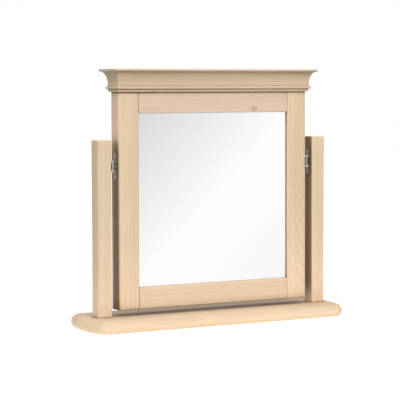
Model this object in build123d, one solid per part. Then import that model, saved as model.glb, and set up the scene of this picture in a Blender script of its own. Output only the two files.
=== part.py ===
from build123d import *
import os

# Dressing mirror: a tilting mirror frame between two posts on a base board.
# Millimetres, +Z up, the front faces -Y, origin at the base's bottom centre.

# Base board and its pads
base_length = 631.0  # over the bowed ends
base_depth = 168.5
base_top = 29.4  # top face above the table
base_end_bow = 16.0  # each end swells this far past its corners
base_corner_radius = 20.0
base_top_roll = 16.5
base_bottom_roll = 11.0
pad_radius = 9.0
pad_thickness = 2.5
pad_stand = 1.0  # the pads hold the board this far off the table
pad_end_inset = 45.0
pad_edge_inset = 28.0

# Posts
post_size = 32.5
post_height = 377.0
post_line = -11.0  # centre plane of both posts, in front of the base's middle
post_arris = 3.0
post_top_arris = 2.0

# Mirror frame
frame_width = 470.0
frame_height = 465.8
frame_thickness = 35.0
frame_setback = 1.5  # frame's front behind the posts' fronts
frame_lift = 12.8  # gap between the base board and the frame
side_gap = 18.0  # gap between the frame and each post
stile_width = 48.0
top_rail_width = 46.0
bottom_rail_width = 47.5
stile_outer_arris = 3.5
stile_inner_arris = 1.8
stile_foot_arris = 1.6
rail_sight_arris = 2.2
rail_end_arris = 1.0

# Glass, its rebate and the beads behind it
lip_thickness = 5.0  # frame in front of the glass
rebate_width = 9.0
glass_thickness = 4.0
glass_edge_play = 1.0
bead_width = 9.0
bead_depth = 10.0
bead_bevel = 4.0

# Back panel
panel_thickness = 4.0
panel_lap = 8.0  # rear rebate past the glass rebate
panel_edge_play = 0.5
panel_corner_radius = 3.0
panel_screw_rise = 130.0
panel_screw_reach = 95.0

# Cornice
cornice_projection = 20.0
top_fillet_height = 5.2
top_fillet_arris = 1.0
cove_height = 24.4
cove_lip = 1.0  # flat strip between the cove and the top fillet's face
cove_upper_radius = 9.0  # the cove tightens to this under the fillet
neck_height = 7.0
neck_projection = 5.5
bead_roll_height = 6.8
foot_height = 5.6
foot_projection = 4.6

# Dowels
dowel_radius = 4.0
dowel_length = 40.0
dowel_end_arris = 0.8
dowel_play = 0.1
dowel_end_play = 1.0
dowel_spacing = 18.0
cornice_dowel_spacing = 150.0

# Swivel fittings
pivot_rise = 321.0  # tilt axis above the base board
plate_height = 60.0
plate_width = 13.0
plate_thickness = 2.0
plate_corner_radius = 3.0
plate_screw_offset = 22.0  # screw above and below the pivot
bridge_height = 26.0
bridge_rise = 9.0  # bridge's face in front of the post
bridge_metal = 2.0
bridge_bend = 2.5
pin_radius = 3.0
pin_running_play = 0.05
collar_radius = 6.5
collar_end_play = 0.3
stud_head_radius = 5.0
stud_head_thickness = 2.0
stud_head_play = 1.0  # head's end off the post plate
washer_radius = 5.4
washer_play = 0.25  # washer's hole round the pin
washer_metal = 0.8
washer_running_play = 0.05

# Screws
plate_screw_head_radius = 3.5
plate_screw_radius = 1.75
plate_screw_length = 16.0
post_screw_head_radius = 5.0
post_screw_radius = 2.5
post_screw_length = 60.0
post_screw_sink = 0.5
post_screw_spacing = 16.0
post_screw_play = 0.4
panel_screw_head_radius = 3.4
panel_screw_head_height = 2.0
panel_screw_head_bevel = 0.9
panel_screw_radius = 1.5
panel_screw_length = 13.0
panel_screw_play = 0.3
pilot_play = 0.05
seat_play = 0.03  # countersink clear of the screw's head
pilot_end_play = 1.0

# Places that follow from the sizes above
base_bottom = pad_stand
post_front = post_line - post_size / 2
pivot_height = base_top + pivot_rise
post_inner = frame_width / 2 + side_gap
post_centre = post_inner + post_size / 2
frame_front = post_front + frame_setback
frame_back = frame_front + frame_thickness
frame_middle = frame_front + frame_thickness / 2
frame_bottom = base_top + frame_lift
frame_top = frame_bottom + frame_height
frame_side = frame_width / 2
sight_side = frame_side - stile_width
sight_bottom = frame_bottom + bottom_rail_width
sight_top = frame_top - top_rail_width
glass_front = frame_front + lip_thickness
glass_back = glass_front + glass_thickness
rebate_side = sight_side + rebate_width
rebate_bottom = sight_bottom - rebate_width
rebate_top = sight_top + rebate_width
rebate_middle = (rebate_bottom + rebate_top) / 2
panel_front = frame_back - panel_thickness
panel_seat_side = rebate_side + panel_lap
panel_seat_bottom = rebate_bottom - panel_lap
panel_seat_top = rebate_top + panel_lap
cornice_height = top_fillet_height + cove_height + neck_height + bead_roll_height + foot_height
bridge_face = post_inner - bridge_rise


def block(x, y, z):
    """Box between two x, two y and two z values."""
    solid = Box(x[1] - x[0], y[1] - y[0], z[1] - z[0])
    return Pos((x[0] + x[1]) / 2, (y[0] + y[1]) / 2, (z[0] + z[1]) / 2) * solid


def turned(*points):
    """Solid of revolution about Z from points of radius and height."""
    outline = Plane.XZ * make_face(Polyline(*points, close=True))
    return revolve(outline, Axis.Z)


def along_x(length, section):
    """Section drawn in the YZ plane, pulled out evenly to both sides."""
    return extrude(section, amount=length / 2, both=True)


def left_of(solid):
    """Left-hand twin of a right-hand piece."""
    return mirror(solid, about=Plane.YZ)


# Screws: the head's outer face is at z = 0 and the point is down
def countersunk_screw(head_radius, radius, length):
    head_depth = head_radius - radius
    return turned(
        (0, 0),
        (head_radius, 0),
        (radius, -head_depth),
        (radius, radius - length),
        (0, -length),
    )


def pan_head_screw(head_radius, head_height, radius, length):
    return turned(
        (0, head_height),
        (head_radius - panel_screw_head_bevel, head_height),
        (head_radius, head_height - panel_screw_head_bevel),
        (head_radius, 0),
        (radius, 0),
        (radius, radius - length),
        (0, -length),
    )


def countersink(head_radius, radius, play, depth):
    """Cutter for a countersunk screw: a cone just clear of the head, then a round hole."""
    mouth = head_radius + seat_play
    hole = radius + play
    return turned((0, depth), (mouth, depth), (mouth, 0), (hole, hole - mouth), (hole, -depth), (0, -depth))


def pilot(radius, length):
    """Cutter for the hole that a screw bites in."""
    reach = length + pilot_end_play
    return Pos(0, 0, -reach / 2) * Cylinder(radius + pilot_play, reach)


# Where the screws go: a place and a turn that points them inward
def post_screw_places():
    rows = (post_line - post_screw_spacing / 2, post_line + post_screw_spacing / 2)
    height = base_bottom + post_screw_sink
    return [Pos(x, y, height) * Rot(180, 0, 0) for x in (-post_centre, post_centre) for y in rows]


def plate_screw_heights():
    return (pivot_height - plate_screw_offset, pivot_height + plate_screw_offset)


def post_plate_screw_places():
    face = post_inner - plate_thickness
    return [Pos(face, post_line, z) * Rot(0, -90, 0) for z in plate_screw_heights()]


def frame_plate_screw_places():
    face = frame_side + plate_thickness
    return [Pos(face, post_line, z) * Rot(0, 90, 0) for z in plate_screw_heights()]


def panel_screw_places():
    side = rebate_side + panel_lap / 2
    rises = (-panel_screw_rise, 0, panel_screw_rise)
    spots = [(x, rebate_middle + rise) for x in (-side, side) for rise in rises]
    for z in (rebate_bottom - panel_lap / 2, rebate_top + panel_lap / 2):
        spots += [(x, z) for x in (-panel_screw_reach, panel_screw_reach)]
    return [Pos(x, frame_back, z) * Rot(-90, 0, 0) for x, z in spots]


# Where the dowels go
def rail_dowel_heights():
    bottom_middle = (frame_bottom + rebate_bottom) / 2
    top_middle = (rebate_top + frame_top) / 2
    half = dowel_spacing / 2
    return [z + step for z in (bottom_middle, top_middle) for step in (-half, half)]


def rail_dowel_places():
    return [
        Pos(x, frame_middle, z) * Rot(0, 90, 0)
        for x in (-sight_side, sight_side)
        for z in rail_dowel_heights()
    ]


def cornice_dowel_places():
    xs = (-cornice_dowel_spacing, 0, cornice_dowel_spacing)
    return [Pos(x, frame_middle, frame_top) for x in xs]


def dowel():
    half = dowel_length / 2
    return turned(
        (0, -half),
        (dowel_radius - dowel_end_arris, -half),
        (dowel_radius, dowel_end_arris - half),
        (dowel_radius, half - dowel_end_arris),
        (dowel_radius - dowel_end_arris, half),
        (0, half),
    )


def dowel_hole():
    return Cylinder(dowel_radius + dowel_play, dowel_length + 2 * dowel_end_play)


# Base board and pads
def pad_places():
    xs = (pad_end_inset - base_length / 2, 0, base_length / 2 - pad_end_inset)
    ys = (pad_edge_inset - base_depth / 2, base_depth / 2 - pad_edge_inset)
    return [Pos(x, y, pad_thickness / 2) for x in xs for y in ys]


def base_board():
    corner_x = base_length / 2 - base_end_bow
    half_depth = base_depth / 2
    with BuildSketch() as plan:
        with BuildLine():
            Line((-corner_x, -half_depth), (corner_x, -half_depth))
            ThreePointArc((corner_x, -half_depth), (base_length / 2, 0), (corner_x, half_depth))
            Line((corner_x, half_depth), (-corner_x, half_depth))
            ThreePointArc((-corner_x, half_depth), (-base_length / 2, 0), (-corner_x, -half_depth))
        make_face()
        fillet(plan.vertices(), base_corner_radius)
    board = Pos(0, 0, base_bottom) * extrude(plan.sketch, amount=base_top - base_bottom)
    board = fillet(board.edges().group_by(Axis.Z)[-1], base_top_roll)
    board = fillet(board.edges().group_by(Axis.Z)[0], base_bottom_roll)
    for place in pad_places():
        board -= place * Cylinder(pad_radius, pad_thickness)
    for place in post_screw_places():
        board -= place * countersink(
            post_screw_head_radius, post_screw_radius, post_screw_play, base_top
        )
    return board


def base_pads():
    return [place * Cylinder(pad_radius, pad_thickness) for place in pad_places()]


# Posts
def right_post():
    post = block(
        (post_inner, post_inner + post_size),
        (post_front, post_front + post_size),
        (base_top, base_top + post_height),
    )
    post = fillet(post.edges().filter_by(Axis.Z), post_arris)
    post = fillet(post.edges().group_by(Axis.Z)[-1], post_top_arris)
    for place in post_screw_places():
        post -= place * pilot(post_screw_radius, post_screw_length)
    for place in post_plate_screw_places():
        post -= place * pilot(plate_screw_radius, plate_screw_length)
    return post


def post_screws():
    screw = countersunk_screw(post_screw_head_radius, post_screw_radius, post_screw_length)
    return [place * screw for place in post_screw_places()]


# Frame members: each bar loses the pocket for the glass and the seat for the panel
def glass_pocket():
    return block(
        (-rebate_side, rebate_side),
        (glass_front, frame_back),
        (rebate_bottom, rebate_top),
    )


def panel_seat():
    return block(
        (-panel_seat_side, panel_seat_side),
        (panel_front, frame_back),
        (panel_seat_bottom, panel_seat_top),
    )


def bored(member):
    """Frame member with its pockets, dowel holes and panel screw pilots."""
    member = member - glass_pocket() - panel_seat()
    for place in rail_dowel_places() + cornice_dowel_places():
        member -= place * dowel_hole()
    for place in panel_screw_places():
        member -= place * pilot(panel_screw_radius, panel_screw_length)
    return member


def right_stile():
    bar = block((sight_side, frame_side), (frame_front, frame_back), (frame_bottom, frame_top))
    uprights = bar.edges().filter_by(Axis.Z)
    bar = fillet(uprights.group_by(Axis.X)[-1], stile_outer_arris)
    inner = bar.edges().filter_by(Axis.Z).group_by(Axis.X)[0].sort_by(Axis.Y)[0]
    bar = fillet(inner, stile_inner_arris)
    bar = fillet(bar.edges().group_by(Axis.Z)[0], stile_foot_arris)
    bar = bored(bar)
    for place in frame_plate_screw_places():
        bar -= place * pilot(plate_screw_radius, plate_screw_length)
    return bar


def rail(low, high, sight):
    """Rail between two heights; the sight edge is the one along the glass."""
    bar = block((-sight_side, sight_side), (frame_front, frame_back), (low, high))
    front = bar.faces().sort_by(Axis.Y)[0]
    bar = fillet(front.edges().filter_by(Axis.Z), rail_end_arris)
    front = bar.faces().sort_by(Axis.Y)[0]
    edges = front.edges().filter_by(Axis.X).sort_by(lambda edge: abs(edge.center().Z - sight))
    bar = fillet(edges[0], rail_sight_arris)
    return bar


def top_rail():
    return bored(rail(sight_top, frame_top, sight_top))


def bottom_rail():
    bar = rail(frame_bottom, sight_bottom, sight_bottom)
    under = bar.faces().sort_by(Axis.Z)[0]
    bar = fillet(under.edges().filter_by(Axis.X), stile_foot_arris)
    return bored(bar)


def rail_dowels():
    return [place * dowel() for place in rail_dowel_places()]


# Cornice: a core board with a moulding mitred round it
def cornice_core():
    core = block(
        (-frame_side, frame_side),
        (frame_front, frame_back),
        (frame_top, frame_top + cornice_height),
    )
    for place in cornice_dowel_places():
        core -= place * dowel_hole()
    return core


def cornice_section():
    """Section of the moulding, its back at y = 0 and its face towards -Y."""
    bead_low = foot_height
    bead_high = bead_low + bead_roll_height
    cove_low = bead_high + neck_height
    cove_high = cove_low + cove_height
    lip_edge = cornice_projection - cove_lip
    nose = neck_projection + bead_roll_height / 2
    # The cove is two arcs that meet smoothly: a slow one off the neck, a tight one at the lip
    spare = lip_edge - neck_projection - cove_upper_radius
    drop = cove_height - cove_upper_radius
    centres_apart = (spare**2 + drop**2) / (2 * spare)
    lower_radius = centres_apart + cove_upper_radius
    reach = lower_radius / centres_apart
    cove_join = (
        reach * (centres_apart - spare) - lower_radius - neck_projection,
        reach * drop + cove_low,
    )
    arris_low = cornice_height - top_fillet_arris
    arris_in = cornice_projection - top_fillet_arris
    with BuildSketch(Plane.YZ) as section:
        with BuildLine():
            Line((0, 0), (-foot_projection, 0))
            Line((-foot_projection, 0), (-foot_projection, bead_low))
            Line((-foot_projection, bead_low), (-neck_projection, bead_low))
            ThreePointArc(
                (-neck_projection, bead_low),
                (-nose, (bead_low + bead_high) / 2),
                (-neck_projection, bead_high),
            )
            Line((-neck_projection, bead_high), (-neck_projection, cove_low))
            lower = TangentArc(
                (-neck_projection, cove_low), cove_join, tangent=(0, 1)
            )
            TangentArc(cove_join, (-lip_edge, cove_high), tangent=lower % 1)
            Line((-lip_edge, cove_high), (-cornice_projection, cove_high))
            Line((-cornice_projection, cove_high), (-cornice_projection, arris_low))
            CenterArc((-arris_in, arris_low), top_fillet_arris, 90, 90)
            Line((-arris_in, cornice_height), (0, cornice_height))
            Line((0, cornice_height), (0, 0))
        make_face()
    return section.sketch


def cornice_length(core_length):
    """One moulding, as long as the core's side, mitred at both ends."""
    half = core_length / 2
    reach = half + cornice_projection
    plan = make_face(
        Polyline(
            (-half, 0),
            (half, 0),
            (reach, -cornice_projection),
            (-reach, -cornice_projection),
            close=True,
        )
    )
    return along_x(2 * reach, cornice_section()) & extrude(plan, amount=cornice_height)


def cornice_front():
    return Pos(0, frame_front, frame_top) * cornice_length(frame_width)


def cornice_back():
    return Pos(0, frame_back, frame_top) * Rot(0, 0, 180) * cornice_length(frame_width)


def cornice_right():
    return Pos(frame_side, frame_middle, frame_top) * Rot(0, 0, 90) * cornice_length(frame_thickness)


def cornice_dowels():
    return [place * dowel() for place in cornice_dowel_places()]


# Glass, beads and back panel
def mirror_glass():
    return block(
        (glass_edge_play - rebate_side, rebate_side - glass_edge_play),
        (glass_front, glass_back),
        (rebate_bottom + glass_edge_play, rebate_top - glass_edge_play),
    )


def bead_length(wall_length):
    """Glazing bead on a rebate wall at z = 0, the glass at y = 0, mitred at both ends."""
    with BuildSketch(Plane.YZ) as section:
        Polygon(
            (0, 0),
            (0, bead_width),
            (bead_depth - bead_bevel, bead_width),
            (bead_depth, bead_width - bead_bevel),
            (bead_depth, 0),
            align=None,
        )
    half = wall_length / 2
    outline = Plane.XZ * make_face(
        Polyline(
            (-half, 0),
            (half, 0),
            (half - bead_width, bead_width),
            (bead_width - half, bead_width),
            close=True,
        )
    )
    return along_x(wall_length, section.sketch) & extrude(outline, amount=-bead_depth)


def bottom_bead():
    return Pos(0, glass_back, rebate_bottom) * bead_length(2 * rebate_side)


def top_bead():
    return Pos(0, glass_back, rebate_top) * Rot(0, 180, 0) * bead_length(2 * rebate_side)


def right_bead():
    bead = Rot(0, -90, 0) * bead_length(rebate_top - rebate_bottom)
    return Pos(rebate_side, glass_back, rebate_middle) * bead


def back_panel():
    panel = block(
        (panel_edge_play - panel_seat_side, panel_seat_side - panel_edge_play),
        (panel_front, frame_back),
        (panel_seat_bottom + panel_edge_play, panel_seat_top - panel_edge_play),
    )
    panel = fillet(panel.edges().filter_by(Axis.Y), panel_corner_radius)
    for place in panel_screw_places():
        panel -= place * Cylinder(panel_screw_radius + panel_screw_play, 4 * panel_thickness)
    return panel


def back_panel_screws():
    screw = pan_head_screw(
        panel_screw_head_radius,
        panel_screw_head_height,
        panel_screw_radius,
        panel_screw_length,
    )
    return [place * screw for place in panel_screw_places()]


# Swivel fittings
def fitting_plate(face, back):
    """Flat plate between two x values, rounded at its corners."""
    plate = block(
        (min(face, back), max(face, back)),
        (post_line - plate_width / 2, post_line + plate_width / 2),
        (pivot_height - plate_height / 2, pivot_height + plate_height / 2),
    )
    return fillet(plate.edges().filter_by(Axis.X), plate_corner_radius)


def right_post_plate():
    plate = fitting_plate(post_inner - plate_thickness, post_inner)
    low = pivot_height - bridge_height / 2
    high = pivot_height + bridge_height / 2
    front = post_line - plate_width / 2
    back = post_line + plate_width / 2
    bridge = block((bridge_face, post_inner), (front, back), (low, high))
    bends = bridge.edges().filter_by(Axis.Y).group_by(Axis.X)[0]
    bridge = fillet(bends, bridge_bend)
    bridge -= block(
        (bridge_face + bridge_metal, post_inner - plate_thickness),
        (front, back),
        (low + bridge_metal, high - bridge_metal),
    )
    plate += bridge
    plate -= Pos(bridge_face, post_line, pivot_height) * Rot(0, 90, 0) * Cylinder(
        pin_radius + pin_running_play, 2 * bridge_metal + pin_radius
    )
    for place in post_plate_screw_places():
        plate -= place * countersink(
            plate_screw_head_radius, plate_screw_radius, pilot_play, plate_thickness
        )
    return plate


def right_frame_plate():
    plate = fitting_plate(frame_side + plate_thickness, frame_side)
    plate -= Pos(frame_side, post_line, pivot_height) * Rot(0, 90, 0) * Cylinder(
        pin_radius, 4 * plate_thickness
    )
    for place in frame_plate_screw_places():
        plate -= place * countersink(
            plate_screw_head_radius, plate_screw_radius, pilot_play, plate_thickness
        )
    return plate


def right_pivot_stud():
    """Stud riveted in the frame plate; its pin turns in the bridge's hole."""
    collar_start = plate_thickness
    collar_end = bridge_face - collar_end_play - frame_side
    head_end = post_inner - plate_thickness - stud_head_play - frame_side
    head_start = head_end - stud_head_thickness
    stud = turned(
        (0, 0),
        (pin_radius, 0),
        (pin_radius, collar_start),
        (collar_radius, collar_start),
        (collar_radius, collar_end),
        (pin_radius, collar_end),
        (pin_radius, head_start),
        (stud_head_radius, head_start),
        (stud_head_radius, head_end),
        (0, head_end),
    )
    return Pos(frame_side, post_line, pivot_height) * Rot(0, 90, 0) * stud


def right_spring_washer():
    """Dished washer pressed between the bridge and the stud's head."""
    start = bridge_face + bridge_metal + washer_running_play
    end = post_inner - plate_thickness - stud_head_play - stud_head_thickness
    hole = pin_radius + washer_play
    dish = end - start
    washer = turned(
        (hole, dish - washer_metal),
        (washer_radius, 0),
        (washer_radius, washer_metal),
        (hole, dish),
    )
    return Pos(start, post_line, pivot_height) * Rot(0, 90, 0) * washer


def both_sides(solids):
    return solids + [left_of(solid) for solid in solids]


def post_plate_screws():
    screw = countersunk_screw(plate_screw_head_radius, plate_screw_radius, plate_screw_length)
    return both_sides([place * screw for place in post_plate_screw_places()])


def frame_plate_screws():
    screw = countersunk_screw(plate_screw_head_radius, plate_screw_radius, plate_screw_length)
    return both_sides([place * screw for place in frame_plate_screw_places()])


# One STEP file for each node
def save(node, shape):
    if isinstance(shape, list):
        shape = Compound(children=[piece.solid() for piece in shape])
    export_step(shape, f"parts/{node}.step")


os.makedirs("parts", exist_ok=True)
save("base_board", base_board())
save("base_pads", base_pads())
save("post_screws", post_screws())
save("top_rail", top_rail())
save("bottom_rail", bottom_rail())
save("rail_dowels", rail_dowels())
save("cornice_core", cornice_core())
save("cornice_front", cornice_front())
save("cornice_back", cornice_back())
save("cornice_dowels", cornice_dowels())
save("mirror_glass", mirror_glass())
save("top_bead", top_bead())
save("bottom_bead", bottom_bead())
save("back_panel", back_panel())
save("back_panel_screws", back_panel_screws())
save("post_plate_screws", post_plate_screws())
save("frame_plate_screws", frame_plate_screws())

handed = {
    "post": right_post(),
    "stile": right_stile(),
    "cornice": cornice_right(),
    "bead": right_bead(),
    "post_plate": right_post_plate(),
    "frame_plate": right_frame_plate(),
    "pivot_stud": right_pivot_stud(),
    "spring_washer": right_spring_washer(),
}
for piece, solid in handed.items():
    right_name = "cornice_right" if piece == "cornice" else f"right_{piece}"
    left_name = "cornice_left" if piece == "cornice" else f"left_{piece}"
    save(right_name, solid)
    save(left_name, left_of(solid))
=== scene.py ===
import bmesh
import bpy
import math
import numpy as np
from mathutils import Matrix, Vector


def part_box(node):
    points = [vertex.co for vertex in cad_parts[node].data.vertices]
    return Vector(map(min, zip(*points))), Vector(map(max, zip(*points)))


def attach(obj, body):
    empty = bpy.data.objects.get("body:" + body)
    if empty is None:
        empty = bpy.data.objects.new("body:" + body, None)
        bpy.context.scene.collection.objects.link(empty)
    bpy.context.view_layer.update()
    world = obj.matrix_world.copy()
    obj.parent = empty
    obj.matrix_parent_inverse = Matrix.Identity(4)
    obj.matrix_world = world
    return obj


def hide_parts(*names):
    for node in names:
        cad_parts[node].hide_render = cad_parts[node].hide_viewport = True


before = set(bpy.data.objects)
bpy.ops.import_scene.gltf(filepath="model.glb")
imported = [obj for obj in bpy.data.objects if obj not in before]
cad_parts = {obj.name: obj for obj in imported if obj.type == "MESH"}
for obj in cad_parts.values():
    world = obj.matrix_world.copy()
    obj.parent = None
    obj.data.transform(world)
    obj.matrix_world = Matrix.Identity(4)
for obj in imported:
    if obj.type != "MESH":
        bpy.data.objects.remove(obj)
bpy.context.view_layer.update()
print("frame loaded")


# helpers

def addNode(tree, kind, values=None, **settings):
    node = tree.nodes.new(kind)
    for name, value in settings.items():
        setattr(node, name, value)
    for name, value in (values or {}).items():
        plug(tree, node.inputs[name], value)
    return node


def plug(tree, socket, value):
    # a value that is a socket is linked, any other is set
    if isinstance(value, bpy.types.NodeSocket):
        tree.links.new(value, socket)
    else:
        socket.default_value = value


def mathNode(tree, operation, first, second=None, clamp=False):
    node = addNode(tree, "ShaderNodeMath", {0: first}, operation=operation, use_clamp=clamp)
    if second is not None:
        plug(tree, node.inputs[1], second)
    return node.outputs[0]


def rangeNode(tree, value, low, high, toLow=0.0, toHigh=1.0, kind="SMOOTHSTEP"):
    node = addNode(tree, "ShaderNodeMapRange", interpolation_type=kind)
    for index, item in enumerate((value, low, high, toLow, toHigh)):
        plug(tree, node.inputs[index], item)
    return node.outputs[0]


def mixColor(tree, factor, first, second, blend="MIX"):
    node = addNode(tree, "ShaderNodeMix", data_type="RGBA", blend_type=blend)
    plug(tree, node.inputs[0], factor)
    plug(tree, node.inputs[6], first)
    plug(tree, node.inputs[7], second)
    return node.outputs[2]


def noiseNode(tree, vector, scale, detail=3.0, roughness=0.5, distortion=0.0):
    values = {"Vector": vector, "Scale": scale, "Detail": detail, "Roughness": roughness}
    values["Distortion"] = distortion
    return addNode(tree, "ShaderNodeTexNoise", values).outputs["Fac"]


def vectorNode(tree, operation, first, second=None):
    node = addNode(tree, "ShaderNodeVectorMath", {0: first}, operation=operation)
    if second is not None:
        plug(tree, node.inputs[1], second)
    return node.outputs["Value" if operation in ("LENGTH", "DOT_PRODUCT") else "Vector"]


def stretched(tree, vector, scale):
    return vectorNode(tree, "MULTIPLY", vector, scale)


def blend(tree, share, low, high):
    return rangeNode(tree, share, 0.0, 1.0, low, high, "LINEAR")


def objectPlace(tree):
    return addNode(tree, "ShaderNodeTexCoord").outputs["Object"]


def bumpInto(tree, shader, height, strength, distance, normal):
    values = {"Height": height, "Strength": strength, "Distance": distance, "Normal": normal}
    plug(tree, shader["Normal"], addNode(tree, "ShaderNodeBump", values).outputs["Normal"])


def alongBoard(tree, place, along, pith):
    # the place as the grain sees it: z runs along the board and the origin is the tree's middle
    quarter = math.radians(90)
    turn = {"z": (0, 0, 0), "x": (0, -quarter, 0), "y": (quarter, 0, 0)}[along]
    values = {"Vector": place, "Rotation": turn, "Location": pith}
    return addNode(tree, "ShaderNodeMapping", values).outputs["Vector"]


def newGroup(name, inputs, outputs):
    group = bpy.data.node_groups.new(name, "ShaderNodeTree")
    for label, kind, default in inputs:
        socket = group.interface.new_socket(label, in_out="INPUT", socket_type="NodeSocket" + kind)
        if default is not None:
            socket.default_value = default
    for label, kind in outputs:
        group.interface.new_socket(label, in_out="OUTPUT", socket_type="NodeSocket" + kind)
    start = group.nodes.new("NodeGroupInput")
    end = group.nodes.new("NodeGroupOutput")
    return group, start.outputs, end.inputs


def useGroup(tree, group, values):
    node = tree.nodes.new("ShaderNodeGroup")
    node.node_tree = group
    for name, value in values.items():
        plug(tree, node.inputs[name], value)
    return node.outputs


def newMaterial(name):
    material = bpy.data.materials.new(name)
    material.use_nodes = True
    tree = material.node_tree
    return material, tree, tree.nodes["Principled BSDF"].inputs


def setMaterial(nodeNames, material):
    for nodeName in nodeNames:
        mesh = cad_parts[nodeName].data
        mesh.materials.clear()
        mesh.materials.append(material)


# shared effects
# a range of two numbers goes from nothing to full between them; the last two of four are what its ends give

wearLook = {"samples": 6, "lean": (0.01, 0.22), "patchDetail": 2.0, "patches": (0.3, 0.7)}


# edge wear: how far the rounded normal leans off the true one, broken up by noise
def buildEdgeWear():
    group, inputs, outputs = newGroup(
        "edge wear",
        [("Vector", "Vector", None), ("Radius", "Float", 0.002), ("Break Up", "Float", 300.0)],
        [("Mask", "Float"), ("Normal", "Vector")],
    )
    bevel = addNode(group, "ShaderNodeBevel", {"Radius": inputs["Radius"]}, samples=wearLook["samples"])
    trueNormal = addNode(group, "ShaderNodeNewGeometry").outputs["Normal"]
    straight = vectorNode(group, "DOT_PRODUCT", bevel.outputs["Normal"], trueNormal)
    lean = mathNode(group, "SUBTRACT", 1.0, straight)
    patchy = noiseNode(group, inputs["Vector"], inputs["Break Up"], wearLook["patchDetail"])
    worn = rangeNode(group, lean, *wearLook["lean"])
    mask = mathNode(group, "MULTIPLY", worn, rangeNode(group, patchy, *wearLook["patches"]))
    group.links.new(mask, outputs["Mask"])
    group.links.new(bevel.outputs["Normal"], outputs["Normal"])
    return group


# noise layers of the oak: stretch along the grain, scale, detail and roughness
grainLayers = {
    "slow": (0.14, 11.0, 3.0, 0.55),
    "fibre": (0.012, 900.0, 2.0, 0.6),
    "streak": (0.02, 120.0, 3.0, 0.6),
    "tone": (0.2, 16.0, 2.0, 0.5),
    "pore": (0.045, 1500.0, 1.0, 0.5),
}

grainRanges = {
    "ringRise": (0.15, 0.85),
    "ringFall": (0.86, 1.0, 1.0, 0.0),
    "pore": (0.62, 0.7),
    "poreInRing": (0.0, 0.5, 1.0, 0.15),
    "streak": (0.35, 0.7, -0.07, 0.16),
    "tone": (0.3, 0.7, -0.09, 0.14),
    "fibre": (0.3, 0.7, -0.06, 0.08),
    "knot": (0.5, 0.95, 0.12, 1.1),
    "roughness": (0.2, 0.8, 0.4, 0.5),
}

grainShares = {
    "warpTurns": 6.0,
    "knotTurns": 2.5,
    "poreTint": (0.72, 0.64, 0.56, 1),
    "poreRoughness": 0.2,
    "fibreHeight": 0.35,
    "poreDepth": 1.0,
    "ringDepth": 0.25,
}


# oak: growth rings round a pith, warped along the board, with pores, fibres and slow tone changes
# the vector has its origin at the pith and z along the grain, in metres
def buildOakGrain():
    group, inputs, outputs = newGroup(
        "oak grain",
        [
            ("Vector", "Vector", None),
            ("Ring Gap", "Float", 0.003),
            ("Taper", "Float", 0.0),
            ("Warp", "Float", 1.2),
            ("Ring Strength", "Float", 0.5),
            ("Pore Strength", "Float", 0.5),
            ("Knot", "Float", 0.0),
            ("Pale", "Color", (0.8, 0.62, 0.44, 1)),
            ("Dark", "Color", (0.6, 0.42, 0.27, 1)),
        ],
        [("Color", "Color"), ("Roughness", "Float"), ("Height", "Float")],
    )
    vector = inputs["Vector"]
    shares = grainShares

    def plus(first, second):
        return mathNode(group, "ADD", first, second)

    def minus(first, second):
        return mathNode(group, "SUBTRACT", first, second)

    def times(first, second):
        return mathNode(group, "MULTIPLY", first, second)

    def layer(name):
        stretch, *rest = grainLayers[name]
        return noiseNode(group, stretched(group, vector, (1, 1, stretch)), *rest)

    def ranged(value, name):
        return rangeNode(group, value, *grainRanges[name])

    split = addNode(group, "ShaderNodeSeparateXYZ", {0: vector}).outputs
    leaning = plus(split["Y"], times(split["Z"], inputs["Taper"]))
    square = plus(times(split["X"], split["X"]), times(leaning, leaning))
    turns = mathNode(group, "DIVIDE", mathNode(group, "SQRT", square), inputs["Ring Gap"])
    warped = times(layer("slow"), times(inputs["Warp"], shares["warpTurns"]))
    phase = plus(plus(turns, warped), times(inputs["Knot"], shares["knotTurns"]))
    inRing = mathNode(group, "FRACT", phase)
    ring = times(ranged(inRing, "ringRise"), ranged(inRing, "ringFall"))
    ringPart = times(ring, inputs["Ring Strength"])
    fibre = layer("fibre")
    poreMask = times(ranged(layer("pore"), "pore"), ranged(inRing, "poreInRing"))
    poreMask = times(poreMask, inputs["Pore Strength"])
    broad = plus(ringPart, ranged(layer("streak"), "streak"))
    fine = plus(ranged(layer("tone"), "tone"), ranged(fibre, "fibre"))
    amount = mathNode(group, "ADD", plus(broad, fine), ranged(inputs["Knot"], "knot"), True)
    color = mixColor(group, amount, inputs["Pale"], inputs["Dark"])
    poreColor = mixColor(group, 1.0, color, shares["poreTint"], "MULTIPLY")
    color = mixColor(group, poreMask, color, poreColor)
    rough = plus(ranged(fibre, "roughness"), times(poreMask, shares["poreRoughness"]))
    height = minus(times(fibre, shares["fibreHeight"]), times(poreMask, shares["poreDepth"]))
    height = minus(height, times(ringPart, shares["ringDepth"]))
    group.links.new(color, outputs["Color"])
    group.links.new(rough, outputs["Roughness"])
    group.links.new(height, outputs["Height"])
    return group


edgeWear = buildEdgeWear()
oakGrain = buildOakGrain()
print("shared effects built")


def wornEdges(tree, vector, radius, patches):
    return useGroup(tree, edgeWear, {"Vector": vector, "Radius": radius, "Break Up": patches})


# oak

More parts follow.
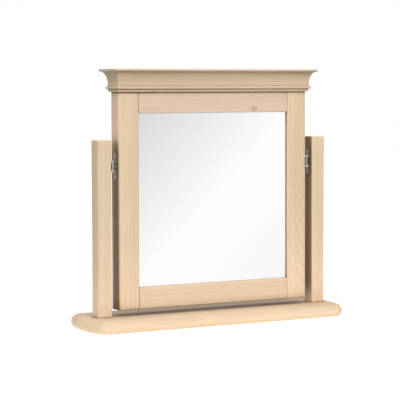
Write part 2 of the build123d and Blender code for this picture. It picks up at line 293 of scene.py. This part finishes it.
oakFinish = {
    "pale": (0.865, 0.668, 0.462, 1),
    "dark": (0.665, 0.487, 0.318, 1),
    "worn": (0.78, 0.585, 0.39, 1),
    "wornShare": 0.3,
    "wearPatches": 160.0,
    "knot": (0.50, 0.40, 0.30, 1),
    "knotShape": (0.6, 0.6, 1.0),
    "knotReach": (0.0, 0.014, 1.0, 0.0),
    "knotHeart": (0.001, 0.0075, 0.5, 0.0),
    # painted shade: the crevice colour darkens the oak by ambient occlusion in grooves, joints and inner
    # corners
    "paintedCreviceShade": (0.46, 0.36, 0.26, 1),
    "creviceShadeDepth": 0.006,
    "creviceShadeRange": (0.3, 0.85, 1.0, 0.0),
    "paintedCreviceShadeShare": 0.8,
    # painted shade: the recess colour darkens the oak wherever other parts stand within a few centimetres, as
    # in the gaps between posts and stiles
    "recess": (0.30, 0.18, 0.075, 1),
    "recessShadeDepth": 0.04,
    "recessShadeRange": (0.35, 0.88, 1.0, 0.0),
    "samples": 6,
    "bumpStrength": 0.35,
    "bumpDepth": 0.0004,
}

# what a board has where its own entry says nothing: the knot is far off, so there is none
usualBoard = {
    "taper": 0.02,
    "warp": 0.7,
    "rings": 0.22,
    "pores": 0.7,
    "knot": (0, 0, 9),
    "soft": 0.0016,
    "tone": 1.0,
    "tint": (1, 1, 1),
    "sheen": 0.2,
    "alone": False,
}

# the grain runs along this axis; pith is the place of the tree's middle from the board, in metres
boards = {
    "left_stile": {"along": "z", "pith": (0.31, 0.05, 0.0), "ringGap": 0.0042, "soft": 0.0045},
    "right_stile": {
        "along": "z", "pith": (-0.243, 0.13, 0.0), "ringGap": 0.0066, "taper": -0.2,
        "warp": 0.8, "rings": 0.3, "soft": 0.0025, "tone": 1.05,
    },
    "left_post": {
        "along": "z", "pith": (0.42, 0.11, 0.3), "ringGap": 0.0040, "tone": 0.97,
        "soft": 0.003, "recessShadeFrom": (0.035, 0.075),
    },
    "right_post": {
        "along": "z", "pith": (-0.45, 0.14, 1.1), "ringGap": 0.0040, "tone": 1.03,
        "soft": 0.003, "recessShadeFrom": (0.035, 0.075),
    },
    "top_rail": {
        "along": "x", "pith": (0.40, 0.06, 0.2), "ringGap": 0.0050,
        "knot": (0.099, -0.026, 0.4705), "tint": (1.0, 1.0, 1.07),
    },
    "bottom_rail": {
        "along": "x", "pith": (-0.30, 0.10, 0.9), "ringGap": 0.0045, "tone": 0.93, "rings": 0.14,
    },
    "cornice_core": {"along": "x", "pith": (0.25, 0.10, 0.4), "ringGap": 0.0040, "tone": 0.93},
    "cornice_front": {
        "along": "x", "pith": (-0.35, 0.12, 1.4), "ringGap": 0.0045, "tone": 0.93, "soft": 0.0025,
    },
    "cornice_back": {"along": "x", "pith": (0.33, 0.22, 0.7), "ringGap": 0.0045, "tone": 0.93},
    "cornice_left": {"along": "y", "pith": (0.30, 0.16, 0.0), "ringGap": 0.0045, "tone": 0.93},
    "cornice_right": {"along": "y", "pith": (-0.38, 0.18, 0.5), "ringGap": 0.0045, "tone": 0.93},
    "base_board": {
        "along": "x", "pith": (0.10, 0.35, 2.1), "ringGap": 0.0055, "tone": 0.87,
        "sheen": 0.04, "alone": True, "recessShadeFrom": (0.02, 0.028),
    },
}


def toned(color, board):
    return tuple(part * share * board["tone"] for part, share in zip(color, board["tint"])) + (1,)


def paintedShadeMask(tree, depth, reach, alone=False):
    # how closed in a place is by what stands within this distance of it, as the mask for painted shade
    settings = {"samples": oakFinish["samples"], "only_local": alone}
    node = addNode(tree, "ShaderNodeAmbientOcclusion", {"Distance": depth}, **settings)
    return rangeNode(tree, node.outputs["AO"], *reach)


def oakMaterial(nodeName, board):
    material, tree, shader = newMaterial("washed oak, " + nodeName.replace("_", " "))
    finish = oakFinish
    place = objectPlace(tree)
    vector = alongBoard(tree, place, board["along"], board["pith"])
    fromKnot = stretched(tree, vectorNode(tree, "SUBTRACT", place, board["knot"]), finish["knotShape"])
    fromKnot = vectorNode(tree, "LENGTH", fromKnot)
    grain = useGroup(tree, oakGrain, {
        "Vector": vector,
        "Knot": rangeNode(tree, fromKnot, *finish["knotReach"]),
        "Ring Gap": board["ringGap"],
        "Taper": board["taper"],
        "Warp": board["warp"],
        "Ring Strength": board["rings"],
        "Pore Strength": board["pores"],
        "Pale": toned(finish["pale"], board),
        "Dark": toned(finish["dark"], board),
    })
    wear = wornEdges(tree, vector, board["soft"], finish["wearPatches"])
    # painted shade in crevices and recesses, from ambient occlusion
    paintedCreviceShade = paintedShadeMask(tree, finish["creviceShadeDepth"], finish["creviceShadeRange"], board["alone"])
    recess = paintedShadeMask(tree, finish["recessShadeDepth"], finish["recessShadeRange"])
    if "recessShadeFrom" in board:
        # what stands on the table or the base gets no painted recess shade there, so the shade darkens only
        # above this height
        height = addNode(tree, "ShaderNodeSeparateXYZ", {0: place}).outputs["Z"]
        recess = mathNode(tree, "MULTIPLY", recess, rangeNode(tree, height, *board["recessShadeFrom"]))
    wornShare = mathNode(tree, "MULTIPLY", wear["Mask"], finish["wornShare"])
    paintedCreviceShadeShare = mathNode(tree, "MULTIPLY", paintedCreviceShade, finish["paintedCreviceShadeShare"])
    color = mixColor(tree, wornShare, grain["Color"], finish["worn"])
    color = mixColor(tree, rangeNode(tree, fromKnot, *finish["knotHeart"]), color, finish["knot"])
    # the painted crevice and recess shade are multiplied into the colour
    color = mixColor(tree, paintedCreviceShadeShare, color, finish["paintedCreviceShade"], "MULTIPLY")
    color = mixColor(tree, recess, color, finish["recess"], "MULTIPLY")
    plug(tree, shader["Base Color"], color)
    plug(tree, shader["Roughness"], grain["Roughness"])
    shader["Specular IOR Level"].default_value = board["sheen"]
    bumpInto(tree, shader, grain["Height"], finish["bumpStrength"], finish["bumpDepth"], wear["Normal"])
    return material


for nodeName, board in boards.items():
    setMaterial([nodeName], oakMaterial(nodeName, usualBoard | board))
print("oak done")


# cornice lengths with a rounded nose

cornice = {
    "foot": (0.0046, 0.0056),
    "neckOut": 0.0055,
    "beadRoll": 0.0068,
    "neckHeight": 0.0070,
    "lowerCove": 0.0376,
    "upperCove": 0.0090,
    "coveLip": 0.0190,
    "coveTop": 0.0438,
    "joinAngle": 147.4,
    "noseAngle": 101.0,
    "noseCurve": ((0.0200, 0.0438), (0.0200, 0.0474)),
    "noseArris": 0.0013,
    "height": 0.0490,
    "out": 0.0200,
    "steps": 24,
    "arrisSteps": 6,
    "stations": 13,
}


def arcPoints(centre, radius, start, end, steps):
    # points on a circle, from one angle to another in degrees
    turn = np.radians(np.linspace(start, end, steps))
    return np.column_stack((centre[0] + radius * np.cos(turn), centre[1] + radius * np.sin(turn)))


def corniceProfile():
    # outward distance and height of the moulding, from the foot at the core round to the top
    footOut, footHigh = cornice["foot"]
    neck, steps = cornice["neckOut"], cornice["steps"]
    roll = cornice["beadRoll"] / 2
    bead = arcPoints((neck, footHigh + roll), roll, -90, 90, steps)
    coveLow = footHigh + 2 * roll + cornice["neckHeight"]
    wide, tight, join = cornice["lowerCove"], cornice["upperCove"], cornice["joinAngle"]
    lower = arcPoints((neck + wide, coveLow), wide, 180, join, steps)
    upperCentre = (cornice["coveLip"], cornice["coveTop"] - tight)
    upper = arcPoints(upperCentre, tight, join, cornice["noseAngle"], steps)
    # the nose is a curve drawn by a start, a pull and an end point
    t = np.linspace(0, 1, steps)[1:, None]
    pull, end = (np.array(point) for point in cornice["noseCurve"])
    nose = (1 - t) ** 2 * upper[-1] + 2 * t * (1 - t) * pull + t ** 2 * end
    arris = cornice["noseArris"]
    edgeCentre = (cornice["out"] - arris, cornice["height"] - arris)
    edge = arcPoints(edgeCentre, arris, 0, 90, cornice["arrisSteps"])
    low = np.array([(0, 0), (footOut, 0), (footOut, footHigh)])
    return np.vstack((low, bead, lower, upper[1:], nose, edge, [(0, cornice["height"])]))


def ringQuads(rows, count):
    # faces between rows of points, where each row is a closed ring
    row = np.arange(rows - 1)[:, None] * count
    here = np.arange(count)
    after = (here + 1) % count
    corners = (row + here, row + after, row + after + count, row + here + count)
    return np.stack(corners, axis=2).reshape(-1, 4)


def closedMesh(name, points, faces, sharpAngle=32, joinWithin=1e-6):
    mesh = bpy.data.meshes.new(name)
    mesh.from_pydata(points.tolist(), [], faces)
    work = bmesh.new()
    work.from_mesh(mesh)
    bmesh.ops.remove_doubles(work, verts=work.verts, dist=joinWithin)
    bmesh.ops.recalc_face_normals(work, faces=work.faces)
    work.to_mesh(mesh)
    work.free()
    mesh.polygons.foreach_set("use_smooth", [True] * len(mesh.polygons))
    mesh.set_sharp_from_angle(angle=math.radians(sharpAngle))
    piece = bpy.data.objects.new(name, mesh)
    bpy.context.scene.collection.objects.link(piece)
    return piece


def standFor(piece, nodeName, body):
    piece.data.materials.append(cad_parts[nodeName].data.materials[0])
    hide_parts(nodeName)
    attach(piece, body)


def mitredLength(nodeName, start, end):
    # the profile runs along one side of the core, and each end reaches as far on as the profile stands out
    profile, stations = corniceProfile(), cornice["stations"]
    start, end = np.array(start), np.array(end)
    length = np.linalg.norm(end - start)
    along = (end - start) / length
    outward = np.array((along[1], -along[0]))
    share = np.linspace(0, 1, stations)[:, None]
    reach = share * length + (2 * share - 1) * profile[:, 0]
    flat = start + reach[..., None] * along + profile[None, :, :1] * outward
    high = np.broadcast_to(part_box("cornice_core")[0][2] + profile[:, 1], reach.shape)
    points = np.concatenate((flat, high[..., None]), axis=2).reshape(-1, 3)
    count = len(profile)
    firstRow = np.arange(count)
    caps = [firstRow.tolist(), (firstRow + (stations - 1) * count).tolist()]
    piece = closedMesh(nodeName + "_moulding", points, ringQuads(stations, count).tolist() + caps)
    standFor(piece, nodeName, "mirror_frame")


(left, front), (right, back) = (corner[:2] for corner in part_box("cornice_core"))
mitredLength("cornice_front", (left, front), (right, front))
mitredLength("cornice_right", (right, front), (right, back))
mitredLength("cornice_back", (right, back), (left, back))
mitredLength("cornice_left", (left, back), (left, front))
print("cornice done")


# stiles with a crisper back edge, and the left one with a rounder front edge

stileEdges = {
    "cadArris": 0.0035,
    "frontArris": {"left_stile": 0.0062, "right_stile": 0.0022},
    "backArris": 0.0010,
}


def rearris(points, outer, line, inward, radius):
    # the rounded corner of the outer side and one face gets a new radius, and its points keep their angles
    old, tiny, hair = stileEdges["cadArris"], 1e-6, 1e-5
    side = np.abs(points[:, 0])
    depth = (points[:, 1] - line) * inward
    fromCentre = np.column_stack((side - (outer - old), old - depth))
    corner = np.all(fromCentre > -tiny, axis=1) & (np.abs(fromCentre).max(axis=1) < old + hair)
    distance = np.maximum(np.linalg.norm(fromCentre, axis=1), 1e-9)
    moved = fromCentre / distance[:, None] * (distance + radius - old)[:, None]
    newSide = np.sign(points[:, 0]) * (outer - radius + moved[:, 0])
    newLine = line + inward * (radius - moved[:, 1])
    points[:, 0] = np.where(corner, newSide, points[:, 0])
    points[:, 1] = np.where(corner, newLine, points[:, 1])


def meshPoints(mesh):
    points = np.empty(len(mesh.vertices) * 3)
    mesh.vertices.foreach_get("co", points)
    return points.reshape(-1, 3)


def roundedStile(nodeName):
    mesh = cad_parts[nodeName].data
    points = meshPoints(mesh)
    lowest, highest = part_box(nodeName)
    outer = max(abs(lowest[0]), abs(highest[0]))
    rearris(points, outer, lowest[1], 1.0, stileEdges["frontArris"][nodeName])
    rearris(points, outer, highest[1], -1.0, stileEdges["backArris"])
    faces = [list(polygon.vertices) for polygon in mesh.polygons]
    piece = closedMesh(nodeName + "_rounded", points, faces)
    standFor(piece, nodeName, "mirror_frame")


roundedStile("left_stile")
roundedStile("right_stile")
print("stiles done")


# panel screws with a cross recess, which stand where the CAD has its plain heads

crossHead = {
    "armWidth": 0.0011,
    "armLength": 0.0040,
    "recess": 0.0009,
    "wallShare": 0.4,
    "crown": 0.92,
    "rings": 14,
    "spokes": 48,
    "reach": 0.012,
}


def headCentres(points, face):
    # the points beyond the panel's face, gathered screw by screw
    hair = 1e-5
    near = points[points[:, 1] > face - hair][:, [0, 2]]
    centres = []
    while len(near):
        close = np.linalg.norm(near - near[0], axis=1) < crossHead["reach"]
        group = near[close]
        centres.append((group.min(axis=0) + group.max(axis=0)) / 2)
        near = near[~close]
    radius = (group[:, 0].max() - group[:, 0].min()) / 2
    return np.array(centres), radius


def crossHeads(nodeName, carrier):
    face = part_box(carrier)[1][1]
    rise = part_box(nodeName)[1][1] - face
    centres, radius = headCentres(meshPoints(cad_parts[nodeName].data), face)
    rings, spokes = crossHead["rings"], crossHead["spokes"]
    turn = np.linspace(0, 2 * np.pi, spokes, endpoint=False)
    reach = np.linspace(0, radius, rings)[:, None]
    across, up = reach * np.cos(turn), reach * np.sin(turn)
    # a crown that falls towards the rim, less a cross of two arms with sloping walls
    crown = rise * np.sqrt(1 - (crossHead["crown"] * reach / radius) ** 2)
    short = np.minimum(np.abs(across), np.abs(up))
    long = np.maximum(np.abs(across), np.abs(up))
    inside = 1 - np.maximum(2 * short / crossHead["armWidth"], 2 * long / crossHead["armLength"])
    height = crown - crossHead["recess"] * np.clip(inside / crossHead["wallShare"], 0, 1)
    # the last two rows are the rim on the panel and the closed underside
    across = np.vstack((across, across[-1:], across[:1]))
    up = np.vstack((up, up[-1:], up[:1]))
    height = np.vstack((height, np.zeros((2, spokes))))
    head = np.stack((across, face + height, up), axis=2).reshape(-1, 3)
    shift = np.column_stack((centres[:, 0], np.zeros(len(centres)), centres[:, 1]))
    points = (shift[:, None, :] + head[None]).reshape(-1, 3)
    firsts = np.arange(len(centres))[:, None, None] * len(head)
    faces = (ringQuads(rings + 2, spokes)[None] + firsts).reshape(-1, 4)
    piece = closedMesh(nodeName + "_cross", points, faces.tolist())
    standFor(piece, nodeName, "mirror_frame")

# mirror glass

mirrorFinish = {
    "color": (0.985, 0.985, 0.982, 1),
    "smudges": (9.0, 4.0, 0.6),
    "roughness": (0.5, 0.8, 0.01, 0.03),
}


def mirrorMaterial():
    material, tree, shader = newMaterial("silvered glass")
    smudge = noiseNode(tree, objectPlace(tree), *mirrorFinish["smudges"])
    shader["Base Color"].default_value = mirrorFinish["color"]
    shader["Metallic"].default_value = 1.0
    plug(tree, shader["Roughness"], rangeNode(tree, smudge, *mirrorFinish["roughness"]))
    return material


setMaterial(["mirror_glass"], mirrorMaterial())
print("mirror done")


# metal, rubber and hidden wood

metalLook = {
    "clouds": (220.0, 3.0),
    "brushStretch": (1, 1, 0.05),
    "brushing": (1800.0, 2.0),
    "brushRange": (0.3, 0.7),
    "roughnessSpread": (-0.06, 0.12),
    "stain": (0.45, 0.75, 0.0, 0.6),
    # the worn colour on edges is partly wear of the plating and partly a painted highlight, lighter where the
    # edges catch the light
    "worn": (0.86, 0.85, 0.83, 1),
    "wornShare": 0.9,
    "wearRadius": 0.0008,
    "wearPatches": 700.0,
    "bumpStrength": 0.15,
    "bumpDepth": 0.00005,
}

# the raised part of each post plate, which gets a painted highlight: a lighter colour where it catches the
# light
paintedBridgeHighlight = {
    "color": (0.80, 0.77, 0.70, 1),
    "middleHeight": 0.3504,
    "halfHeight": 0.0125,
    "postFace": 0.2508,
    "fade": 0.001,
}

metals = {
    "plated steel": {
        "color": (0.20, 0.175, 0.145, 1), "roughness": 0.38, "tarnish": (0.12, 0.10, 0.08, 1),
        "nodes": ["left_frame_plate", "right_frame_plate", "left_pivot_stud", "right_pivot_stud"],
    },
    "plated steel with a painted bridge highlight": {
        "color": (0.20, 0.175, 0.145, 1), "roughness": 0.38, "tarnish": (0.12, 0.10, 0.08, 1),
        "nodes": ["left_post_plate", "right_post_plate"], "bridgeHighlight": True,
    },
    "zinc screw": {
        "color": (0.50, 0.50, 0.49, 1), "roughness": 0.34, "tarnish": (0.34, 0.33, 0.31, 1),
        "nodes": ["post_screws", "back_panel_screws"],
    },
    "plated screw": {
        "color": (0.30, 0.275, 0.24, 1), "roughness": 0.36, "tarnish": (0.16, 0.14, 0.115, 1),
        "nodes": ["post_plate_screws", "frame_plate_screws"],
    },
    "spring steel": {
        "color": (0.3, 0.3, 0.31, 1), "roughness": 0.35, "tarnish": (0.18, 0.16, 0.14, 1),
        "nodes": ["left_spring_washer", "right_spring_washer"],
    },
}


def bridgeHighlightMask(tree, place):
    # where the painted highlight goes: near the pivot's height, and clear of the post
    split = addNode(tree, "ShaderNodeSeparateXYZ", {0: place}).outputs
    half, foot, fade = paintedBridgeHighlight["halfHeight"], paintedBridgeHighlight["postFace"], paintedBridgeHighlight["fade"]
    rise = mathNode(tree, "ABSOLUTE", mathNode(tree, "SUBTRACT", split["Z"], paintedBridgeHighlight["middleHeight"]))
    near = rangeNode(tree, rise, half, half + fade, 1.0, 0.0)
    clear = rangeNode(tree, mathNode(tree, "ABSOLUTE", split["X"]), foot - fade, foot, 1.0, 0.0)
    return mathNode(tree, "MULTIPLY", near, clear)


def metalMaterial(name, metal):
    material, tree, shader = newMaterial(name)
    look = metalLook
    place = objectPlace(tree)
    cloud = noiseNode(tree, place, *look["clouds"])
    brushed = noiseNode(tree, stretched(tree, place, look["brushStretch"]), *look["brushing"])
    wear = wornEdges(tree, place, look["wearRadius"], look["wearPatches"])
    color = mixColor(tree, rangeNode(tree, cloud, *look["stain"]), metal["color"], metal["tarnish"])
    # lighter edges: partly wear, partly painted highlight
    color = mixColor(tree, mathNode(tree, "MULTIPLY", wear["Mask"], look["wornShare"]), color, look["worn"])
    # painted highlight on the raised bridge of the post plates
    if metal.get("bridgeHighlight"):
        color = mixColor(tree, bridgeHighlightMask(tree, place), color, paintedBridgeHighlight["color"])
    plug(tree, shader["Base Color"], color)
    shader["Metallic"].default_value = 1.0
    rough = (metal["roughness"] + spread for spread in look["roughnessSpread"])
    plug(tree, shader["Roughness"], rangeNode(tree, brushed, *look["brushRange"], *rough))
    bumpInto(tree, shader, brushed, look["bumpStrength"], look["bumpDepth"], wear["Normal"])
    return material


for name, metal in metals.items():
    setMaterial(metal["nodes"], metalMaterial(name, metal))


woodLook = {
    "pith": (0.2, 0.1, 0.3),
    "ringGap": 0.0025,
    "taper": 0.02,
    "warp": 0.5,
    "rings": 0.3,
    "pores": 0.2,
    "roughness": 0.7,
    "wornShare": 0.3,
    "wearRadius": 0.0006,
    "wearPatches": 400.0,
    "bumpStrength": 0.4,
    "bumpDepth": 0.0003,
}

beech = {"pale": (0.62, 0.42, 0.25, 1), "dark": (0.5, 0.31, 0.17, 1)}
bead = {"pale": (0.6, 0.45, 0.3, 1), "dark": (0.45, 0.31, 0.18, 1)}

hiddenWoods = {
    "beech dowel across": {"along": "x", "nodes": ["rail_dowels"], **beech},
    "beech dowel upright": {"along": "z", "nodes": ["cornice_dowels"], **beech},
    "glazing bead across": {"along": "x", "nodes": ["top_bead", "bottom_bead"], **bead},
    "glazing bead upright": {"along": "z", "nodes": ["left_bead", "right_bead"], **bead},
}


def plainWood(name, wood):
    material, tree, shader = newMaterial(name)
    look = woodLook
    vector = alongBoard(tree, objectPlace(tree), wood["along"], look["pith"])
    grain = useGroup(tree, oakGrain, {
        "Vector": vector,
        "Ring Gap": look["ringGap"],
        "Taper": look["taper"],
        "Warp": look["warp"],
        "Ring Strength": look["rings"],
        "Pore Strength": look["pores"],
        "Pale": wood["pale"],
        "Dark": wood["dark"],
    })
    wear = wornEdges(tree, vector, look["wearRadius"], look["wearPatches"])
    wornShare = mathNode(tree, "MULTIPLY", wear["Mask"], look["wornShare"])
    plug(tree, shader["Base Color"], mixColor(tree, wornShare, grain["Color"], wood["dark"]))
    shader["Roughness"].default_value = look["roughness"]
    bumpInto(tree, shader, grain["Height"], look["bumpStrength"], look["bumpDepth"], wear["Normal"])
    return material


for name, wood in hiddenWoods.items():
    setMaterial(wood["nodes"], plainWood(name, wood))


panelLook = {
    "flakes": (260.0, 5.0, 0.7, 1.5),
    "flakeRange": (0.35, 0.7),
    "pale": (0.30, 0.19, 0.11, 1),
    "dark": (0.19, 0.115, 0.065, 1),
    "clouds": (14.0, 3.0),
    "cloudRange": (0.3, 0.7, 0.0, 0.35),
    "cloudColor": (0.36, 0.25, 0.15, 1),
    "worn": (0.42, 0.3, 0.19, 1),
    "wearRadius": 0.001,
    "wearPatches": 300.0,
    "roughness": (0.3, 0.7, 0.55, 0.72),
    "bumpStrength": 0.3,
    "bumpDepth": 0.0002,
}


def hardboardMaterial():
    material, tree, shader = newMaterial("hardboard")
    look = panelLook
    place = objectPlace(tree)
    flakes = noiseNode(tree, place, *look["flakes"])
    cloud = noiseNode(tree, place, *look["clouds"])
    wear = wornEdges(tree, place, look["wearRadius"], look["wearPatches"])
    color = mixColor(tree, rangeNode(tree, flakes, *look["flakeRange"]), look["pale"], look["dark"])
    color = mixColor(tree, rangeNode(tree, cloud, *look["cloudRange"]), color, look["cloudColor"])
    plug(tree, shader["Base Color"], mixColor(tree, wear["Mask"], color, look["worn"]))
    plug(tree, shader["Roughness"], rangeNode(tree, flakes, *look["roughness"]))
    bumpInto(tree, shader, flakes, look["bumpStrength"], look["bumpDepth"], wear["Normal"])
    return material


rubberLook = {
    "grit": (1400.0, 3.0),
    "gritRange": (0.35, 0.7),
    "dark": (0.022, 0.02, 0.018, 1),
    "pale": (0.045, 0.04, 0.036, 1),
    "worn": (0.09, 0.085, 0.08, 1),
    "wearRadius": 0.0005,
    "wearPatches": 500.0,
    "roughness": 0.85,
    "bumpStrength": 0.4,
    "bumpDepth": 0.0001,
}


def rubberMaterial():
    material, tree, shader = newMaterial("pad rubber")
    look = rubberLook
    place = objectPlace(tree)
    grit = noiseNode(tree, place, *look["grit"])
    wear = wornEdges(tree, place, look["wearRadius"], look["wearPatches"])
    color = mixColor(tree, rangeNode(tree, grit, *look["gritRange"]), look["dark"], look["pale"])
    plug(tree, shader["Base Color"], mixColor(tree, wear["Mask"], color, look["worn"]))
    shader["Roughness"].default_value = look["roughness"]
    bumpInto(tree, shader, grit, look["bumpStrength"], look["bumpDepth"], wear["Normal"])
    return material


setMaterial(["back_panel"], hardboardMaterial())
setMaterial(["base_pads"], rubberMaterial())
crossHeads("back_panel_screws", "back_panel")
print("metal, rubber and hidden wood done")


# stage, lights and camera

def seenRays(tree):
    # camera, glossy and transmission rays see the plain white backdrop
    path = addNode(tree, "ShaderNodeLightPath").outputs
    seen = mathNode(tree, "MAXIMUM", path["Is Camera Ray"], path["Is Glossy Ray"])
    return mathNode(tree, "MAXIMUM", seen, path["Is Transmission Ray"])


# the room is brightest towards aim
room = {"aim": (-0.55, -0.57, 0.61), "light": (-0.25, 0.9, 0.07, 1.14), "backdrop": 1.0}


def buildWorld():
    # the room lights the object mostly from above and in front, as a bank of soft lamps does
    world = bpy.data.worlds.new("white studio")
    bpy.context.scene.world = world
    world.use_nodes = True
    tree = world.node_tree
    background = tree.nodes["Background"].inputs
    background["Color"].default_value = (1, 1, 1, 1)
    direction = addNode(tree, "ShaderNodeTexCoord").outputs["Generated"]
    light = rangeNode(tree, vectorNode(tree, "DOT_PRODUCT", direction, room["aim"]), *room["light"])
    plug(tree, background["Strength"], blend(tree, seenRays(tree), light, room["backdrop"]))


def addFlat(name, corners):
    mesh = bpy.data.meshes.new(name)
    mesh.from_pydata(corners, [], [(0, 1, 2, 3)])
    flat = bpy.data.objects.new(name, mesh)
    bpy.context.scene.collection.objects.link(flat)
    return flat


floorLook = {
    "size": 12.0,
    "color": 0.9,
    "glow": 0.50,
    "roughness": 0.9,
    "tableShape": (1, 1.7, 1),
    "tableRim": (0.32, 0.56),
    "tableBounce": 0.9,
    "roomBounce": 0.12,
    "tableGlow": 0.42,
    "roomGlow": 0.0,
}


def buildFloor():
    # to the camera the floor is white with the object's shadow; as a lamp it is a pale table in a dimmer room
    look = floorLook
    half = look["size"] / 2
    floor = addFlat("floor", [(-half, -half, 0), (half, -half, 0), (half, half, 0), (-half, half, 0)])
    material, tree, shader = newMaterial("pale floor")
    away = vectorNode(tree, "LENGTH", stretched(tree, objectPlace(tree), look["tableShape"]))
    bounce = rangeNode(tree, away, *look["tableRim"], look["tableBounce"], look["roomBounce"])
    glow = rangeNode(tree, away, *look["tableRim"], look["tableGlow"], look["roomGlow"])
    seen = seenRays(tree)
    plug(tree, shader["Base Color"], blend(tree, seen, bounce, look["color"]))
    shader["Roughness"].default_value = look["roughness"]
    shader["Specular IOR Level"].default_value = 0.0
    shader["Emission Color"].default_value = (1, 1, 1, 1)
    plug(tree, shader["Emission Strength"], blend(tree, seen, glow, look["glow"]))
    floor.data.materials.append(material)


# the grey runs from the upper left of what the glass shows to the lower right; past the rim the card is white
cardLook = {
    "line": -0.5,
    "width": (-0.7, 1.3),
    "height": (0.003, 1.2),
    "across": (0.04, 0.50),
    "down": (0.455, 0.02),
    "slopeEnd": 0.5,
    "upper": (0.0, 0.52, 0.69, 1.0),
    "lower": (0.62, 1.0, 1.0, 0.93),
    "leftRim": (-0.65, -0.1),
    "rightRim": (0.7, 1.25, 1.0, 0.0),
    "topRim": (0.6, 1.15, 1.0, 0.0),
}


def slope(tree, value, ends, height):
    # a straight slope that goes on beyond both ends
    values = dict(enumerate((value, *ends, 0.0, height)))
    return addNode(tree, "ShaderNodeMapRange", values, clamp=False).outputs[0]


def buildCard():
    # the soft grey corner that the glass shows: a card that only reflections see
    look = cardLook
    line, (left, right), (low, high) = look["line"], look["width"], look["height"]
    corners = [(left, line, low), (right, line, low), (right, line, high), (left, line, high)]
    card = addFlat("reflected card", corners)
    material, tree, shader = newMaterial("reflected card")
    split = addNode(tree, "ShaderNodeSeparateXYZ", {0: objectPlace(tree)}).outputs
    across = slope(tree, split["X"], look["across"], look["slopeEnd"])
    down = slope(tree, split["Z"], look["down"], look["slopeEnd"])
    along = mathNode(tree, "ADD", across, down)
    upper = rangeNode(tree, along, *look["upper"], "LINEAR")
    lower = rangeNode(tree, along, *look["lower"], "LINEAR")
    level = mathNode(tree, "MULTIPLY", upper, lower)
    rim = rangeNode(tree, split["X"], *look["leftRim"])
    rim = mathNode(tree, "MULTIPLY", rim, rangeNode(tree, split["Z"], *look["topRim"]))
    rim = mathNode(tree, "MULTIPLY", rim, rangeNode(tree, split["X"], *look["rightRim"]))
    shader["Base Color"].default_value = (0, 0, 0, 1)
    shader["Specular IOR Level"].default_value = 0.0
    shader["Emission Color"].default_value = (1, 1, 1, 1)
    plug(tree, shader["Emission Strength"], blend(tree, rim, 1.0, level))
    card.data.materials.append(material)
    for kind in ("camera", "diffuse", "transmission", "volume_scatter", "shadow"):
        setattr(card, "visible_" + kind, False)


softboxes = {
    "key softbox": {"place": (-0.6, -2.3, 2.1), "size": (1.8, 1.2), "power": 38.0},
    "rear softbox": {"place": (1.3, 2.3, 1.6), "size": (1.2, 1.0), "power": 4.0},
}
lampAim = (0.0, 0.0, 0.25)


def aimAt(thing, target):
    thing.rotation_euler = (Vector(target) - thing.location).to_track_quat("-Z", "Y").to_euler()


def buildSoftbox(name, place, size, power):
    lamp = bpy.data.lights.new(name, "AREA")
    lamp.shape = "RECTANGLE"
    lamp.size, lamp.size_y = size
    lamp.energy = power
    softbox = bpy.data.objects.new(name, lamp)
    softbox.location = place
    bpy.context.scene.collection.objects.link(softbox)
    aimAt(softbox, lampAim)


viewpoint = {
    "place": (-1.8751, -3.2796, 0.5146),
    "turn": -29.453,
    "tiltDown": 3.711,
    "roll": -0.148,
    "lens": 154.49,
    "sensor": 36.0,
}


def buildCamera():
    lens = bpy.data.cameras.new("photo view")
    lens.lens = viewpoint["lens"]
    lens.sensor_width = viewpoint["sensor"]
    camera = bpy.data.objects.new("photo view", lens)
    camera.location = viewpoint["place"]
    camera.rotation_euler = (math.radians(90 - viewpoint["tiltDown"]), 0, math.radians(viewpoint["turn"]))
    camera.rotation_euler.rotate_axis("Z", math.radians(viewpoint["roll"]))
    bpy.context.scene.collection.objects.link(camera)
    bpy.context.scene.camera = camera


buildWorld()
buildFloor()
buildCard()
for name, values in softboxes.items():
    buildSoftbox(name, **values)
buildCamera()
bpy.context.scene.view_settings.view_transform = "Standard"
print("studio done")
